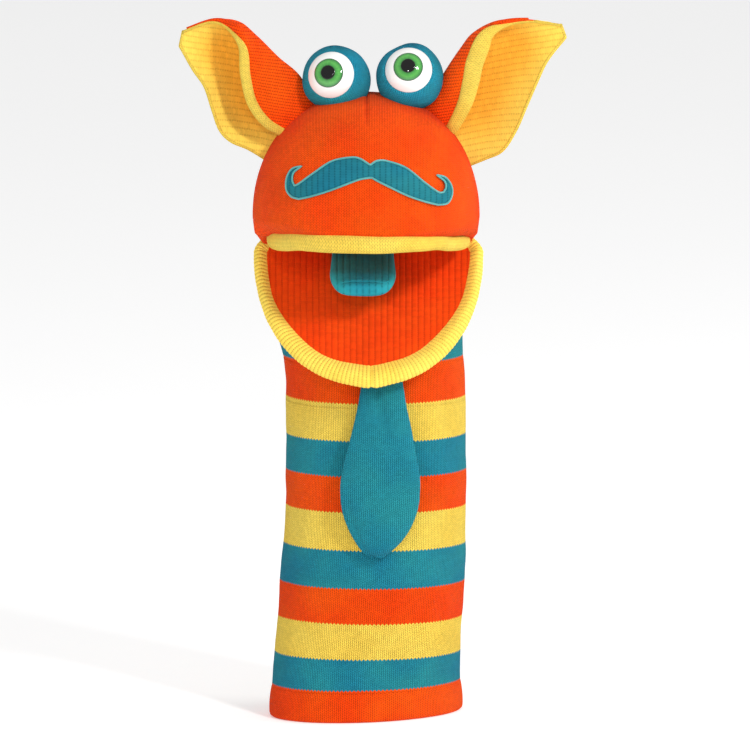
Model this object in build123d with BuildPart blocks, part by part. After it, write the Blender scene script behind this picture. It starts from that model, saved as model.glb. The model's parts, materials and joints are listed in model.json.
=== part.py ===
"""Knitted sock puppet with a moving mouth, worn on the forearm.

Frame: millimetres, +Z up, the face looks along -Y, and the origin is the centre of the sleeve's
open lower end, in the plane of its rim. Left and right are as seen from the front: left is -X.
"""

import os
from math import asin, cos, degrees, radians, sin, sqrt, tan

from build123d import *

os.makedirs("parts", exist_ok=True)

# ---------------------------------------------------------------- driving dimensions, mm
KNIT = 2.0  # one layer of knitted fabric
LINING = 1.6  # the ribbed lining of the mouth and the ears
BOARD = 2.0  # stiffener plates in the mouth
FOAM = 7.0  # padding behind the face
SEAM = 0.05  # between pieces that are sewn against each other
REACH = 160.0  # longer than any cut has to go

HEM_TOP = 17.0  # the turned-up hem is a double layer
SLEEVE_TOP = 160.0  # where the sleeve starts to bend with the wrist
NECK = 205.0  # where the bending zone ends
EQUATOR = 291.0  # the head is widest here, and domed above it
HEM_RX, HEM_RY = 54.6, 35.8
SLEEVE_RX, SLEEVE_RY = 53.2, 34.6  # outside half width and half depth just above the hem
NECK_RX, NECK_RY = 51.0, 34.0
THREAD = 0.8  # the stitches that hold the turned hem, inside
HEAD_RX, HEAD_RY, HEAD_RZ = 65.5, 62.0, 71.0  # the dome's half axes
HEAD_Y = -26.0  # the dome's centre lies this far in front of the sleeve's
HEAD_SEAM = ((2.0, 262.0), (-34.0, 366.0))  # (y, z) of the seam from ear to ear, over the top

FOLD_Y, FOLD_Z = -6.0, 270.0  # the mouth's fold, a line along X
PALATE_GAP = 6.0  # each palate stands this far from the fold's line, which leaves the tongue room
UPPER_TILT, LOWER_TILT = 7.5, -50.0  # degrees by which each palate rises towards its lip
LIP_RADIUS = 4.0
UPPER_LIP_RX, UPPER_LIP_LENGTH = 57.5, 80.0  # half axes of the D that the roll's centre follows
LOWER_LIP_RX, LOWER_LIP_LENGTH = 60.0, 82.0
FACE_EDGE = 4.3  # the face's lower edge lies this far above the upper palate
POCKET_WALL = 1.5  # the knitted loop that holds the fingers
CHIN_WEDGE = 8.0  # degrees between the lower board and the chin's knit, with the thumb between them

TONGUE_LENGTH, TONGUE_WIDTH, TONGUE_THICK = 50.0, 37.5, 9.0
TONGUE_SKIN = 1.4

EYE_X, EYE_Y, EYE_Z, EYE_R = 20.8, -25.0, 370.0, 19.2
EYE_FLAT = 14.4  # the ball is pressed flat this far from its centre, behind the plastic eye
EYE_LOOKS = {"left": (14.0, 19.5), "right": (3.0, 27.5)}  # degrees towards -X, and upwards
DOME_R, DOME_SPHERE = 13.2, 14.0  # the plastic eye's radius, and the radius of its curve
IRIS_R, PUPIL_R, PRINT = 8.4, 4.2, 0.8
SHANK_R, SHANK_LENGTH = 2.5, 11.0
WASHER_R, WASHER = 8.0, 1.5

EAR_BEND = (47.0, -22.0, 342.0)  # the middle of the right ear's root
EAR_ALONG = (0.577, 0.0, 0.816)  # from the right ear's root to its end
EAR_HALF_WIDTH, EAR_DEPTH = 27.0, 22.0  # the ear is cupped, and its hollow faces forwards
EAR_RIM_Y = -34.0
EAR_CLEAR = 4.0  # room between the ears and the head, so that the ears can flop
EYE_CLEAR = 2.5  # and between the ears and the eyes
EAR_OUTLINE = [
    (60.0, 321.0), (77.5, 331.0), (87.0, 347.0), (94.0, 366.5), (108.0, 387.0),
    (109.0, 397.0), (98.0, 402.5), (74.0, 402.5), (61.0, 396.0), (36.0, 368.0),
]  # fmt: skip

TIE_X, TIE_BACK, TIE_THICK = 7.0, -35.2, 8.6  # the leaf-shaped tie hangs in front of the sleeve
TIE_TOP, TIE_WIDEST, TIE_LOW = 199.5, 138.0, 97.0
TIE_HALF_TOP, TIE_HALF_WIDE = 13.0, 22.4
TIE_SKIN = 1.5

MOUSTACHE_UPPER = [(0, 331.2), (10, 335.2), (20.5, 332.3), (32, 322.0), (41.8, 314.6), (38.4, 324.6)]
MOUSTACHE_LOWER = [(38.4, 324.6), (46.8, 316.0), (45.0, 307.2), (32.2, 308.4), (13.6, 317.3), (0, 323.8)]
APPLIQUE = 1.3

SIDES = {"left": -1, "right": 1}


def save(name, builder):
    """Writes one finished piece as its own node."""
    builder.part.label = name
    export_step(builder.part, f"parts/{name}.step")


# ---------------------------------------------------------------- sleeve
def oval_tube(z0, z1, low, high, wall):
    """An oval tube from z0 to z1, where low and high are (half width, half depth) outside."""
    with BuildPart() as made:
        for inset, mode in ((0, Mode.ADD), (wall, Mode.SUBTRACT)):
            for z, (rx, ry) in ((z0, low), (z1, high)):
                with BuildSketch(Plane.XY.offset(z)):
                    Ellipse(rx - inset, ry - inset)
            loft(mode=mode)
    return made


def make_sleeve():
    """The striped tube, its turned hem with the stitches, and the zone that bends at the wrist."""
    hem, sleeve, neck = (HEM_RX, HEM_RY), (SLEEVE_RX, SLEEVE_RY), (NECK_RX, NECK_RY)
    inside = (SLEEVE_RX - KNIT - SEAM, SLEEVE_RY - KNIT - SEAM)
    save("sleeve_hem", oval_tube(0, HEM_TOP, hem, hem, 2 * KNIT))
    save("hem_thread", oval_tube(HEM_TOP, HEM_TOP + 2 * THREAD, inside, inside, THREAD))
    save("sleeve_tube", oval_tube(HEM_TOP, SLEEVE_TOP, sleeve, neck, KNIT))
    save("wrist_knit", oval_tube(SLEEVE_TOP, NECK, neck, neck, KNIT))


# ---------------------------------------------------------------- shapes that pieces share
def dome(grow=0.0):
    """The upper head as a whole ellipsoid, grown or shrunk all round."""
    axes = (HEAD_RX + grow, HEAD_RY + grow, HEAD_RZ + grow)
    return Pos(0, HEAD_Y, EQUATOR) * scale(Sphere(1), by=axes)


def head_solid(inset=0.0):
    """The head from the neck up, inset all round."""
    upper = split(dome(-inset), bisect_by=Plane.XY.offset(EQUATOR), keep=Keep.TOP)
    with BuildPart() as made:
        with BuildSketch(Plane.XY.offset(NECK)):
            Ellipse(NECK_RX - inset, NECK_RY - inset)
        with BuildSketch(Plane.XY.offset(EQUATOR)):
            with Locations((0, HEAD_Y)):
                Ellipse(HEAD_RX - inset, HEAD_RY - inset)
        loft()
        add(upper)
    return made.part


def side_prism(points):
    """A prism along X over an outline of (y, z) points."""
    with BuildPart() as made:
        with BuildSketch(Plane.YZ):
            with BuildLine():
                Polyline(*points, close=True)
            make_face()
        extrude(amount=REACH, both=True)
    return made.part


def mouth_plane(tilt, offset):
    """The plane through the fold that rises by tilt degrees towards the lips, offset along its normal.

    Its local X is the frame's X, and its local -Y runs from the fold to the lip.
    """
    normal = (0, sin(radians(tilt)), cos(radians(tilt)))
    return Plane(origin=(0, FOLD_Y, FOLD_Z), x_dir=(1, 0, 0), z_dir=normal).offset(offset)


UPPER = mouth_plane(UPPER_TILT, PALATE_GAP)
LOWER = mouth_plane(LOWER_TILT, -PALATE_GAP)


def point_on(plane, y, z):
    """(y, z) in the frame of a point given by its local y and z on a mouth plane."""
    point = plane.from_local_coords((0, y, z))
    return (point.Y, point.Z)


def eye_centre(side):
    return (side * EYE_X, EYE_Y, EYE_Z)


def eye_balls(grow):
    return [Pos(*eye_centre(side)) * Sphere(EYE_R + grow) for side in SIDES.values()]


# ---------------------------------------------------------------- mouth plates and lips
def d_plate(plane, rx, length, z0, z1, back):
    """A D-shaped plate from local z0 to z1, whose straight side lies back mm before the fold."""
    with BuildPart() as made:
        with BuildSketch(plane.offset(z0)):
            Ellipse(rx, length)
            with Locations((0, length - back)):
                Rectangle(3 * rx, 2 * length, mode=Mode.SUBTRACT)
        extrude(amount=z1 - z0)
    return made


def lip(plane, rx, length, back):
    """The padded roll round a palate, which ends back mm before the fold."""
    start = degrees(asin(back / length))
    with BuildPart() as made:
        with BuildLine(plane) as path:
            EllipticalCenterArc(
                (0, 0), rx, length, start_angle=180 + start, arc_size=180 - 2 * start
            )
        with BuildSketch(path.line ^ 0):
            Circle(LIP_RADIUS)
        sweep()
    return made


def pocket(plane, rx, height, start, length, base, rise):
    """A knitted loop over a mouth board. rise is 1 if it stands on the plane, or -1 if it hangs."""
    with BuildPart() as made:
        origin = plane.from_local_coords((0, -start, base))
        section = Plane(origin=origin, x_dir=plane.x_dir, z_dir=plane.y_dir * -1)
        with BuildSketch(section):
            Ellipse(rx, height)
            Ellipse(rx - POCKET_WALL, height - POCKET_WALL, mode=Mode.SUBTRACT)
            with Locations((0, -rise * height)):
                Rectangle(4 * rx, 2 * height, mode=Mode.SUBTRACT)
        extrude(amount=length)
    return made


PALATE_INSET = LIP_RADIUS + 3 * SEAM  # from the lip's centre line to the palate's edge
UPPER_D = (UPPER_LIP_RX - PALATE_INSET, UPPER_LIP_LENGTH - PALATE_INSET)
LOWER_D = (LOWER_LIP_RX - PALATE_INSET, LOWER_LIP_LENGTH - PALATE_INSET)
JAW_BOARD = -(LINING + BOARD)  # the lower board's underside, from the lower palate's surface
CHIN_DROP = LOWER_D[1] * sin(radians(CHIN_WEDGE)) + (PALATE_GAP - JAW_BOARD) * cos(radians(CHIN_WEDGE))
CHIN = mouth_plane(LOWER_TILT + CHIN_WEDGE, -CHIN_DROP)  # it meets the board under the lip
THROAT_TOP = -KNIT - 1.5  # the throat's knit lies this far from the chin's plane


def make_mouth():
    """Palates, boards, lips, chin cover and the loop for the fingers."""
    upper_board, lower_board = ((rx - 2, length - 2) for rx, length in (UPPER_D, LOWER_D))
    save("upper_palate", d_plate(UPPER, *UPPER_D, 0, LINING, back=2))
    save("upper_board", d_plate(UPPER, *upper_board, LINING, LINING + BOARD, back=2))
    save("upper_lip", lip(UPPER, UPPER_LIP_RX, UPPER_LIP_LENGTH, back=6))
    save("finger_pocket", pocket(UPPER, 40.0, 25.0, 18.0, 32.0, LINING + BOARD, rise=1))
    save("lower_palate", d_plate(LOWER, *LOWER_D, -LINING, 0, back=2))
    save("lower_board", d_plate(LOWER, *lower_board, JAW_BOARD, -LINING, back=2))
    save("chin_cover", d_plate(CHIN, *lower_board, -KNIT, -SEAM, back=10))
    save("lower_lip", lip(LOWER.offset(-LINING), LOWER_LIP_RX, LOWER_LIP_LENGTH, back=8))


# ---------------------------------------------------------------- head
def make_head():
    """The two knitted panels and the padding behind them."""
    seam_low, seam_high = HEAD_SEAM
    top, front, floor = EQUATOR + REACH, -REACH, NECK - 1
    edge_back, edge_front = point_on(UPPER, 6, FACE_EDGE), point_on(UPPER, -REACH, FACE_EDGE)
    mouth = side_prism([(seam_low[0], floor), seam_low, edge_back, edge_front, (front, floor)])
    before_seam = side_prism(
        [(seam_low[0], floor), seam_low, seam_high, (seam_high[0], top), (front, top), (front, floor)]
    )
    outside, inside = head_solid(), head_solid(KNIT)

    with BuildPart() as face:
        add(outside)
        add([inside, mouth], mode=Mode.SUBTRACT)
        add(before_seam, mode=Mode.INTERSECT)
    save("face_panel", face)

    with BuildPart() as back:
        add(outside)
        add([inside, mouth, before_seam], mode=Mode.SUBTRACT)
    save("back_panel", back)

    foam_edge = point_on(UPPER, -REACH, 2 * FACE_EDGE)
    padded = side_prism([point_on(UPPER, 14, 2 * FACE_EDGE), foam_edge, (front, top), (14, top)])
    foam_outside, foam_inside = head_solid(KNIT + SEAM), head_solid(KNIT + FOAM)
    with BuildPart() as foam:
        add(foam_outside)
        add(foam_inside, mode=Mode.SUBTRACT)
        add(padded, mode=Mode.INTERSECT)
    save("head_foam", foam)


def make_throat():
    """The knit between the neck and the chin, which folds as the mouth opens."""
    outside, inside = head_solid(), head_solid(KNIT)
    edge, floor = HEAD_SEAM[0][0] - SEAM, NECK - 1
    high_back, high_front = point_on(CHIN, 0, THROAT_TOP), point_on(CHIN, -REACH, THROAT_TOP)
    low_front, low_back = point_on(CHIN, -REACH, THROAT_TOP - KNIT), point_on(CHIN, 0, THROAT_TOP - KNIT)
    corner = (edge, high_back[1] - (high_back[0] - edge) * tan(radians(-LOWER_TILT - CHIN_WEDGE)))
    below_chin = side_prism([(edge, floor), corner, high_front])
    sheet_room = side_prism([high_back, high_front, low_front, low_back])
    with BuildPart() as sheet:
        add(inside)
        add(sheet_room, mode=Mode.INTERSECT)
    with BuildPart() as throat:
        add(outside)
        add(inside, mode=Mode.SUBTRACT)
        add(below_chin, mode=Mode.INTERSECT)
        add(sheet.part)
    save("throat_knit", throat)


# ---------------------------------------------------------------- moustache
def make_moustache():
    """The knitted moustache, bent over the face."""
    skin = split(dome(APPLIQUE) - dome(SEAM), bisect_by=Plane.XZ.offset(-HEAD_Y), keep=Keep.TOP)
    with BuildPart() as moustache:
        with BuildSketch(Plane.XZ):
            with BuildLine():
                Spline(*MOUSTACHE_UPPER)
                Spline(*MOUSTACHE_LOWER)
                Line(MOUSTACHE_LOWER[-1], MOUSTACHE_UPPER[0])
            make_face()
            mirror(about=Plane.YZ)
        extrude(amount=REACH)
        add(skin, mode=Mode.INTERSECT)
    save("moustache", moustache)


# ---------------------------------------------------------------- eyes
def eye_plane(name):
    """The plane through an eye ball's centre, across the way that the eye looks."""
    aside, up = (radians(angle) for angle in EYE_LOOKS[name])
    looks = (-sin(aside) * cos(up), -cos(aside) * cos(up), sin(up))
    return Plane(origin=eye_centre(SIDES[name]), x_dir=(cos(aside), -sin(aside), 0), z_dir=looks)


DOME_BASE = EYE_FLAT + SEAM
DOME_CENTRE = DOME_BASE - sqrt(DOME_SPHERE**2 - DOME_R**2)


def dome_height(radius, sphere):
    """How high a sphere about the plastic eye's centre stands over the ball's centre."""
    return DOME_CENTRE + sqrt(sphere**2 - radius**2)


def dome_arc(r0, r1, sphere):
    """The arc of the plastic eye's curve between two radii, in a profile of (radius, height)."""
    points = [(r, dome_height(r, sphere)) for r in (r0, (r0 + r1) / 2, r1)]
    return ThreePointArc(*points)


def ball_part(plane, radius, flat):
    """A ball about the plane's origin, flat at that height, with a bore for the shank."""
    with BuildPart() as made:
        with Locations(plane.location):
            Sphere(radius)
        split(bisect_by=plane.offset(flat), keep=Keep.BOTTOM)
        with BuildSketch(plane.offset(flat)):
            Circle(SHANK_R + SEAM)
        extrude(amount=-SHANK_LENGTH, mode=Mode.SUBTRACT)
    return made.part


def printed_ring(profile, r0, r1):
    """A ring of the eye's printed colour, which is let into the dome."""
    inside = DOME_SPHERE - PRINT
    with BuildPart() as made:
        with BuildSketch(profile):
            with BuildLine():
                dome_arc(r0, r1, DOME_SPHERE)
                dome_arc(r0, r1, inside)
                for r in (r0, r1):
                    Line((r, dome_height(r, DOME_SPHERE)), (r, dome_height(r, inside)))
            make_face()
        revolve(axis=Axis(profile.origin, profile.y_dir))
    return made


def make_eye(name):
    """Knitted ball, stuffing, plastic dome with its printed rings, and the washer that locks it."""
    plane = eye_plane(name)
    profile = Plane(origin=plane.origin, x_dir=plane.x_dir, z_dir=plane.y_dir * -1)
    washer_top = EYE_FLAT - KNIT - SEAM
    whole = ball_part(plane, EYE_R, EYE_FLAT) - dome(SEAM)
    hollow = ball_part(plane, EYE_R - KNIT, EYE_FLAT - KNIT) - dome(SEAM + KNIT)
    core = ball_part(plane, EYE_R - KNIT - SEAM, EYE_FLAT - KNIT - SEAM) - dome(2 * SEAM + KNIT)

    with BuildPart() as ball:
        add(whole)
        add(hollow, mode=Mode.SUBTRACT)
        with BuildSketch(plane.offset(EYE_FLAT)):
            Circle(SHANK_R + SEAM)
        extrude(amount=-SHANK_LENGTH - KNIT, mode=Mode.SUBTRACT)
    save(f"eye_ball_{name}", ball)

    with BuildPart() as stuffing:
        add(core)
        with BuildSketch(plane.offset(EYE_FLAT)):
            Circle(WASHER_R + SEAM)
        extrude(amount=-(EYE_FLAT - washer_top + WASHER + SEAM), mode=Mode.SUBTRACT)
    save(f"eye_stuffing_{name}", stuffing)

    with BuildPart() as white:
        with BuildSketch(profile):
            with BuildLine():
                inside = DOME_SPHERE - PRINT
                shank_end = DOME_BASE - SHANK_LENGTH
                dome_arc(0, IRIS_R, inside)
                Line((IRIS_R, dome_height(IRIS_R, inside)), (IRIS_R, dome_height(IRIS_R, DOME_SPHERE)))
                dome_arc(IRIS_R, DOME_R, DOME_SPHERE)
                Polyline(
                    (DOME_R, DOME_BASE),
                    (SHANK_R, DOME_BASE),
                    (SHANK_R, shank_end),
                    (0, shank_end),
                    (0, dome_height(0, inside)),
                )
            make_face()
        revolve(axis=Axis(profile.origin, profile.y_dir))
    save(f"eye_dome_{name}", white)
    save(f"eye_iris_{name}", printed_ring(profile, PUPIL_R, IRIS_R))

    with BuildPart() as pupil:
        with BuildSketch(profile):
            with BuildLine():
                dome_arc(0, PUPIL_R, DOME_SPHERE)
                dome_arc(0, PUPIL_R, inside)
                for r in (0, PUPIL_R):
                    Line((r, dome_height(r, DOME_SPHERE)), (r, dome_height(r, inside)))
            make_face()
        revolve(axis=Axis(profile.origin, profile.y_dir))
    save(f"eye_pupil_{name}", pupil)

    with BuildPart() as washer:
        with BuildSketch(plane.offset(washer_top)):
            Circle(WASHER_R)
            Circle(SHANK_R + SEAM, mode=Mode.SUBTRACT)
        extrude(amount=-WASHER)
    save(f"eye_washer_{name}", washer)


# ---------------------------------------------------------------- ears
def make_ear(name):
    """The plain back and the ribbed lining of one cupped ear."""
    side = SIDES[name]
    along = Vector(side * EAR_ALONG[0], EAR_ALONG[1], EAR_ALONG[2])
    root = (side * EAR_BEND[0], EAR_RIM_Y, EAR_BEND[2])
    across = along.cross(Vector(0, 1, 0))
    section = Plane(origin=root, x_dir=across, z_dir=along).offset(-REACH / 4)
    with BuildPart() as outline:
        with BuildSketch(Plane.XZ):
            with BuildLine():
                Spline(*((side * x, z) for x, z in EAR_OUTLINE), periodic=True)
            make_face()
        extrude(amount=REACH, both=True)
    room = [dome(EAR_CLEAR), *eye_balls(EYE_CLEAR)]
    for layer, inset, wall in (("back", 0.0, KNIT), ("lining", KNIT, LINING)):
        with BuildPart() as made:
            with BuildSketch(section):
                Ellipse(EAR_HALF_WIDTH - inset, EAR_DEPTH - inset)
                Ellipse(EAR_HALF_WIDTH - inset - wall, EAR_DEPTH - inset - wall, mode=Mode.SUBTRACT)
                split(bisect_by=Plane.XZ, keep=Keep.TOP)
            extrude(amount=REACH)
            add(outline.part, mode=Mode.INTERSECT)
            add(room, mode=Mode.SUBTRACT)
        save(f"ear_{layer}_{name}", made)


# ---------------------------------------------------------------- tongue and tie
TONGUE = mouth_plane((UPPER_TILT + LOWER_TILT) / 2, 0)  # halfway between the palates


def tongue_solid(inset=0.0):
    """The tongue, inset all round, with rounded corners at its tip."""
    root, corner = 4.0 + inset, 12.0 - inset
    width, thick = TONGUE_WIDTH - 2 * inset, TONGUE_THICK - 2 * inset
    with BuildPart() as made:
        with BuildSketch(TONGUE.offset(-thick / 2)) as outline:
            with Locations((0, -root)):
                Rectangle(width, TONGUE_LENGTH - root - inset, align=(Align.CENTER, Align.MAX))
            fillet(outline.vertices().sort_by(Axis.Y)[:2], corner)
        extrude(amount=thick)
    return made.part


def make_tongue():
    """Knitted cover and its stuffing."""
    outside, inside, filling = (tongue_solid(t) for t in (0, TONGUE_SKIN, TONGUE_SKIN + SEAM))
    with BuildPart() as cover:
        add(outside)
        rims = cover.faces().filter_by(Axis(TONGUE.origin, TONGUE.z_dir)).edges()
        fillet(rims, 2.8)
        add(inside, mode=Mode.SUBTRACT)
    save("tongue_cover", cover)
    with BuildPart() as stuffing:
        add(filling)
    save("tongue_stuffing", stuffing)


def tie_solid(inset=0.0):
    """The leaf-shaped tie, inset all round."""
    top, low, foot = TIE_TOP - inset, TIE_LOW + inset, 6.0
    half, wide = TIE_HALF_TOP - inset, TIE_HALF_WIDE - inset
    with BuildPart() as made:
        with BuildSketch(Plane.XZ.offset(-TIE_BACK + inset)):
            with BuildLine():
                for side in SIDES.values():
                    Spline(
                        (TIE_X + side * half, top),
                        (TIE_X + side * wide, TIE_WIDEST),
                        (TIE_X + side * foot, low + foot / 2),
                        tangents=[(side * 0.15, -1), (-side * 0.9, -1)],
                    )
                Line((TIE_X - half, top), (TIE_X + half, top))
                ThreePointArc((TIE_X - foot, low + foot / 2), (TIE_X, low), (TIE_X + foot, low + foot / 2))
            make_face()
        extrude(amount=TIE_THICK - 2 * inset)
    return made.part


def make_tie():
    """Knitted cover and its wadding."""
    outside, inside, filling = (tie_solid(t) for t in (0, TIE_SKIN, TIE_SKIN + SEAM))
    with BuildPart() as cover:
        add(outside)
        add(inside, mode=Mode.SUBTRACT)
    save("tie_cover", cover)
    with BuildPart() as wadding:
        add(filling)
    save("tie_wadding", wadding)


make_sleeve()
make_mouth()
make_head()
make_throat()
make_moustache()
for each in SIDES:
    make_eye(each)
    make_ear(each)
make_tongue()
make_tie()
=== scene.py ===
"""Looks of the knitted sock puppet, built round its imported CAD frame.

Lengths in this script are millimetres until a mesh is made, which is in metres, in the frame's own
axes: +Z up, the face looks along -Y, and left is -X, as seen from the front.
"""

import json
import math
from functools import partialmethod

import bpy
import numpy as np
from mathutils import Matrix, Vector, geometry, noise


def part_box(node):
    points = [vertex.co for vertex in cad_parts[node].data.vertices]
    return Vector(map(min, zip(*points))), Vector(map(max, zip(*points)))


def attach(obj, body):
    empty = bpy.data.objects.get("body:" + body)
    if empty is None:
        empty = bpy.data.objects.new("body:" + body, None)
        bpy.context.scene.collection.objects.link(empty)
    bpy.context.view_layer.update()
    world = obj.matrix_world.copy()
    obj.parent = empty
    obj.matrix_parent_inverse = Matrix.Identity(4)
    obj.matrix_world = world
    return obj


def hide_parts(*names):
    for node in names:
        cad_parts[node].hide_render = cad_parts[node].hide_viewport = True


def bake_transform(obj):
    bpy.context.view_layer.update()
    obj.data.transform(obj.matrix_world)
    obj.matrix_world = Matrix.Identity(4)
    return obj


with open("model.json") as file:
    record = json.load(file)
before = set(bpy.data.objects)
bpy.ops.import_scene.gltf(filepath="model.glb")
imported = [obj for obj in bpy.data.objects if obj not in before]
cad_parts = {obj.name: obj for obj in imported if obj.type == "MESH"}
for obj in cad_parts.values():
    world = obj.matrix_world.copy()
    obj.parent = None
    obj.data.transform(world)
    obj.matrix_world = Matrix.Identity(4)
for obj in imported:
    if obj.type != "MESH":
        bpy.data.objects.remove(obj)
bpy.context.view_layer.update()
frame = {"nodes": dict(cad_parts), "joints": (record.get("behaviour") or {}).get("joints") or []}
MM = 0.001


def box_mm(node):
    """Lowest and highest corner of a CAD node, in millimetres."""
    return tuple(tuple(c / MM for c in corner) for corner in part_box(node))


JOINTS = {joint["name"]: joint for joint in frame["joints"]}


def joint_mm(name):
    return tuple(c / MM for c in JOINTS[name]["pos_m"])


# ---------------------------------------------------------------- sizes from the frame
HEM_RX, HEM_RY, HEM_TOP = box_mm("sleeve_hem")[1]
SLEEVE_RX, SLEEVE_RY = box_mm("sleeve_tube")[1][:2]
NECK_RX, NECK_RY, NECK = box_mm("wrist_knit")[1]
SLEEVE_TOP = box_mm("wrist_knit")[0][2]
WRIST = joint_mm("head_nod")[2]
_, FOLD_Y, FOLD_Z = joint_mm("jaw_close")
(_, FACE_FRONT, _), (HEAD_RX, _, _) = box_mm("face_panel")
HEAD_RY, HEAD_RZ = 62.0, 71.0  # the dome's half depth, and its height above the equator
HEAD_Y = FACE_FRONT + HEAD_RY
EQUATOR = NECK + 86.0  # the head is widest here
UPPER_TILT, LOWER_TILT = 7.5, -50.0  # degrees by which each palate rises towards its lip
PALATE_GAP = 6.0  # each palate stands this far from the line of the mouth's fold
KNIT = 2.0
LINING = 1.4

SIDES = {"left": -1, "right": 1}
TAU = math.tau

# Knit gauge: how wide a stitch is, and how high a row is
WALE, COURSE = 1.9, 1.37
FINE_WALE = 1.7


def smooth(x, low=0.0, high=1.0):
    """0 below low, 1 above high, and an even curve between them."""
    t = min(max((x - low) / (high - low), 0.0), 1.0)
    return t * t * (3 - 2 * t)


def lerp(a, b, t):
    return a + (b - a) * t


def mix(a, b, t):
    """The point at share t on the way from a to b."""
    return tuple(lerp(p, q, t) for p, q in zip(a, b))


def curve_at(points, t):
    """A smooth curve through points, at t from 0 to 1."""
    last = len(points) - 1
    at = min(max(t, 0.0), 1.0) * last
    i = min(int(at), last - 1)
    t = at - i
    p1, p2 = points[i], points[i + 1]
    p0 = points[i - 1] if i else mix(p2, p1, 2.0)
    p3 = points[i + 2] if i + 2 <= last else mix(p1, p2, 2.0)
    return tuple(
        0.5 * (2 * b + (c - a) * t + (2 * a - 5 * b + 4 * c - d) * t * t + (3 * b - a - 3 * c + d) * t**3)
        for a, b, c, d in zip(p0, p1, p2, p3)
    )


def signed_power(x, power):
    """x with its size raised to a power and its sign kept."""
    return math.copysign(abs(x) ** power, x)


def peak(x, width):
    """A smooth bump: 1 where x is 0, and dying away over that width to either side."""
    return math.exp(-((x / width) ** 2))


def rounded(t, power, root=None):
    """Height of a rounded outline at t: 1 in its middle, where t is 0, and 0 at its ends, where t is 1."""
    return max(1 - abs(t) ** power, 0.0) ** (1 / (root or power))


def rumple(point, size, seed=0.0):
    """Smooth noise from -1 to 1 at a point, over features of that size in millimetres."""
    return noise.noise(Vector(point) / size + Vector((seed, 2 * seed, -seed)))


# ---------------------------------------------------------------- shader maths
class Value:
    """A shader value that is written as an expression."""

    def __init__(self, tree, socket):
        self.tree = tree
        self.socket = socket

    def maths(self, operation, *others):
        node = self.tree.nodes.new("ShaderNodeMath")
        node.operation = operation
        for socket, value in zip(node.inputs, (self, *others)):
            if isinstance(value, Value):
                self.tree.links.new(value.socket, socket)
            else:
                socket.default_value = value
        return Value(self.tree, node.outputs[0])

    def between(self, low, high, to_low=0.0, to_high=1.0):
        """Mapped smoothly from low..high to to_low..to_high."""
        node = self.tree.nodes.new("ShaderNodeMapRange")
        node.interpolation_type = "SMOOTHSTEP"
        for i, value in enumerate((low, high, to_low, to_high)):
            node.inputs[i + 1].default_value = value
        self.tree.links.new(self.socket, node.inputs[0])
        return Value(self.tree, node.outputs[0])


for method, operation in {
    "__add__": "ADD", "__sub__": "SUBTRACT", "__mul__": "MULTIPLY", "__truediv__": "DIVIDE",
    "__pow__": "POWER", "fract": "FRACT", "floor": "FLOOR", "size": "ABSOLUTE", "sine": "SINE",
}.items():  # fmt: skip
    setattr(Value, method, partialmethod(Value.maths, operation))


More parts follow.
